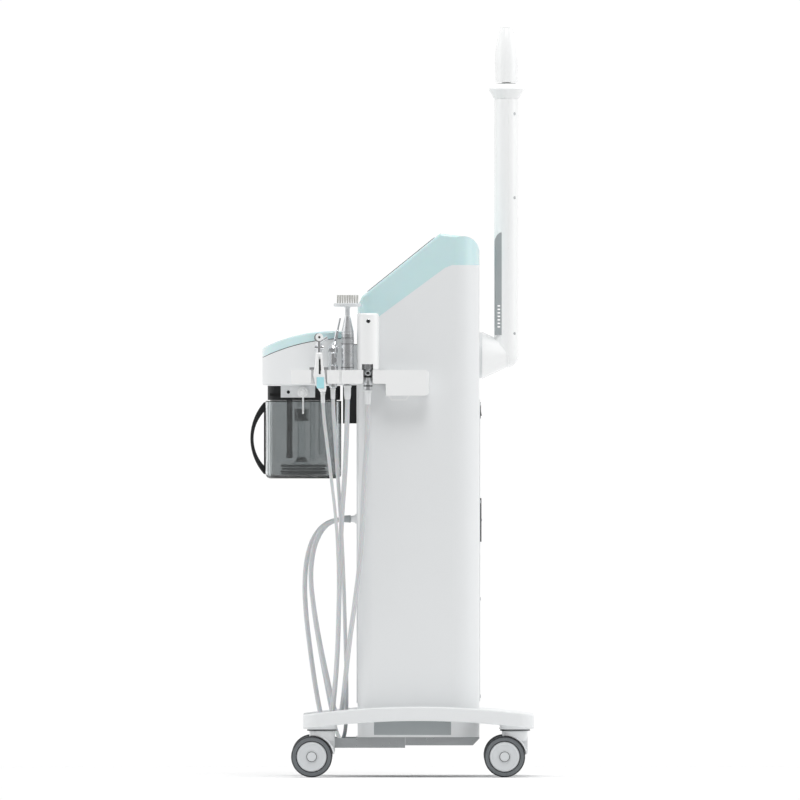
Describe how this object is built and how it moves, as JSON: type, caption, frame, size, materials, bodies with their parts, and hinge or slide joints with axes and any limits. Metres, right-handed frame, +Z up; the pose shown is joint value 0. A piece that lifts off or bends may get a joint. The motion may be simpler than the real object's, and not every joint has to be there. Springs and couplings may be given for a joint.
{
  "type": "facial treatment trolley",
  "caption": "Wheeled cabinet with a sloping touch screen, bottle housing, slide-out waste jar, side holder of hose-fed handpieces and a swinging mist arm.",
  "frame": {"origin": "on the floor, under the middle of the whole object's length and width", "axes": "+X from the jar and screen end towards the mist arm behind, +Y away from the handpiece side, +Z up"},
  "size_m": [0.52, 0.46, 1.3769],
  "materials": {
    "white_shell": "glossy white moulding",
    "aqua_plastic": "glossy pale aqua tint",
    "screen_glass": "polished black",
    "dark_plastic": "satin near-black",
    "smoked_plastic": "smoked, see-through",
    "clear_plastic": "clear with a blue-green cast",
    "grey_plastic": "satin mid grey",
    "tyre_rubber": "dark grey",
    "zinc_steel": "plated",
    "frame_steel": "satin grey paint",
    "cast_aluminium": "cast",
    "plated_metal": "polished",
    "silver_metal": "satin silver",
    "brush_plastic": "white nylon",
    "hose_rubber": "pale grey silicone"
  },
  "bodies": {
    "trolley": {"base_plate": "white_shell", "caster_stems": "zinc_steel", "hose_tray": "zinc_steel", "ballast_plate": "zinc_steel", "column_shell": "white_shell", "top_cover": "aqua_plastic", "touch_screen": "screen_glass", "front_panel": "aqua_plastic", "rear_panel": "white_shell", "mains_inlet": "dark_plastic", "power_switch": "dark_plastic", "column_frame": "frame_steel", "vacuum_pump": "cast_aluminium", "air_compressor": "cast_aluminium", "electronics_module": "cast_aluminium", "bottle_housing": "white_shell", "solution_bottles": "white_shell", "jar_carrier": "white_shell", "jar_backplate": "dark_plastic", "handpiece_holder": "white_shell", "arm_mount": "white_shell", "hose_outlets": "white_shell", "gun_hose": "hose_rubber", "jet_hose": "hose_rubber", "pen_hose": "hose_rubber", "wand_hose": "hose_rubber"},
    "front_left_swivel": {"front_left_caster_hood": "white_shell"},
    "front_left_wheels": {"front_left_caster_hubs": "grey_plastic", "front_left_caster_tyres": "tyre_rubber"},
    "front_right_swivel": {"front_right_caster_hood": "white_shell"},
    "front_right_wheels": {"front_right_caster_hubs": "grey_plastic", "front_right_caster_tyres": "tyre_rubber"},
    "rear_left_swivel": {"rear_left_caster_hood": "white_shell"},
    "rear_left_wheels": {"rear_left_caster_hubs": "grey_plastic", "rear_left_caster_tyres": "tyre_rubber"},
    "rear_right_swivel": {"rear_right_caster_hood": "white_shell"},
    "rear_right_wheels": {"rear_right_caster_hubs": "grey_plastic", "rear_right_caster_tyres": "tyre_rubber"},
    "lid": {"bottle_lid": "aqua_plastic"},
    "jar": {"jar_sleeve": "clear_plastic", "waste_jar": "smoked_plastic", "jar_lid": "dark_plastic", "jar_pipes": "dark_plastic", "jar_handle": "dark_plastic"},
    "latch": {"latch_lever": "white_shell"},
    "rocker": {"power_rocker": "dark_plastic"},
    "arm": {"arm_shells": "white_shell", "arm_screws": "zinc_steel", "arm_spine": "grey_plastic", "arm_collar": "white_shell"},
    "nozzle": {"nozzle_head": "white_shell"},
    "gun": {"gun_grip": "white_shell", "gun_head": "plated_metal"},
    "gun_button": {"gun_trigger": "aqua_plastic"},
    "jet": {"jet_injector": "plated_metal"},
    "pen": {"pen_body": "silver_metal"},
    "brush": {"brush_hub": "brush_plastic", "brush_bristles": "brush_plastic"},
    "wand": {"wand_body": "white_shell", "wand_connector": "plated_metal"}
  },
  "joints": [
    {"name": "front_left_swivel_turn", "type": "hinge", "parent": "trolley", "child": "front_left_swivel", "pos_m": [-0.128, 0.19, 0.08], "axis": [0, 0, 1], "continuous": true},
    {"name": "front_left_wheel_roll", "type": "hinge", "parent": "front_left_swivel", "child": "front_left_wheels", "pos_m": [-0.147, 0.19, 0.0375], "axis": [0, 1, 0], "continuous": true},
    {"name": "front_right_swivel_turn", "type": "hinge", "parent": "trolley", "child": "front_right_swivel", "pos_m": [-0.128, -0.19, 0.08], "axis": [0, 0, 1], "continuous": true},
    {"name": "front_right_wheel_roll", "type": "hinge", "parent": "front_right_swivel", "child": "front_right_wheels", "pos_m": [-0.147, -0.19, 0.0375], "axis": [0, 1, 0], "continuous": true},
    {"name": "rear_left_swivel_turn", "type": "hinge", "parent": "trolley", "child": "rear_left_swivel", "pos_m": [0.225, 0.19, 0.08], "axis": [0, 0, 1], "continuous": true},
    {"name": "rear_left_wheel_roll", "type": "hinge", "parent": "rear_left_swivel", "child": "rear_left_wheels", "pos_m": [0.206, 0.19, 0.0375], "axis": [0, 1, 0], "continuous": true},
    {"name": "rear_right_swivel_turn", "type": "hinge", "parent": "trolley", "child": "rear_right_swivel", "pos_m": [0.225, -0.19, 0.08], "axis": [0, 0, 1], "continuous": true},
    {"name": "rear_right_wheel_roll", "type": "hinge", "parent": "rear_right_swivel", "child": "rear_right_wheels", "pos_m": [0.206, -0.19, 0.0375], "axis": [0, 1, 0], "continuous": true},
    {"name": "lid_hinge", "type": "hinge", "parent": "trolley", "child": "lid", "pos_m": [-0.08, 0, 0.8035], "axis": [0, 1, 0], "range_deg": [0, 75]},
    {"name": "jar_slide", "type": "slide", "parent": "trolley", "child": "jar", "axis": [-1, 0, 0], "range_m": [0, 0.16]},
    {"name": "latch_turn", "type": "hinge", "parent": "trolley", "child": "latch", "pos_m": [-0.163, -0.0706, 0.7045], "axis": [0, 1, 0], "range_deg": [0, 90]},
    {"name": "rocker_tilt", "type": "hinge", "parent": "trolley", "child": "rocker", "pos_m": [0.156, 0, 0.671], "axis": [0, 1, 0], "range_deg": [0, 9]},
    {"name": "arm_swing", "type": "hinge", "parent": "trolley", "child": "arm", "pos_m": [0.165, 0, 0.772], "axis": [1, 0, 0], "range_deg": [-90, 90]},
    {"name": "nozzle_turn", "type": "hinge", "parent": "arm", "child": "nozzle", "pos_m": [0.2097, 0, 1.273], "axis": [0, 0, 1], "range_deg": [-170, 170]},
    {"name": "gun_lift", "type": "slide", "parent": "trolley", "child": "gun", "axis": [0, 0, 1], "range_m": [0, 0.06]},
    {"name": "gun_button_push", "type": "slide", "parent": "gun", "child": "gun_button", "axis": [0, 1, 0], "range_m": [0, 0.002], "stiffness_N_per_m": 300},
    {"name": "jet_lift", "type": "slide", "parent": "trolley", "child": "jet", "axis": [0, 0, 1], "range_m": [0, 0.02]},
    {"name": "pen_lift", "type": "slide", "parent": "trolley", "child": "pen", "axis": [0, 0, 1], "range_m": [0, 0.025]},
    {"name": "brush_spin", "type": "hinge", "parent": "pen", "child": "brush", "pos_m": [-0.0815, -0.194, 0.85], "axis": [0, 0, 1], "continuous": true},
    {"name": "wand_draw", "type": "slide", "parent": "trolley", "child": "wand", "axis": [0, -1, 0], "range_m": [0, 0.06]}
  ]
}
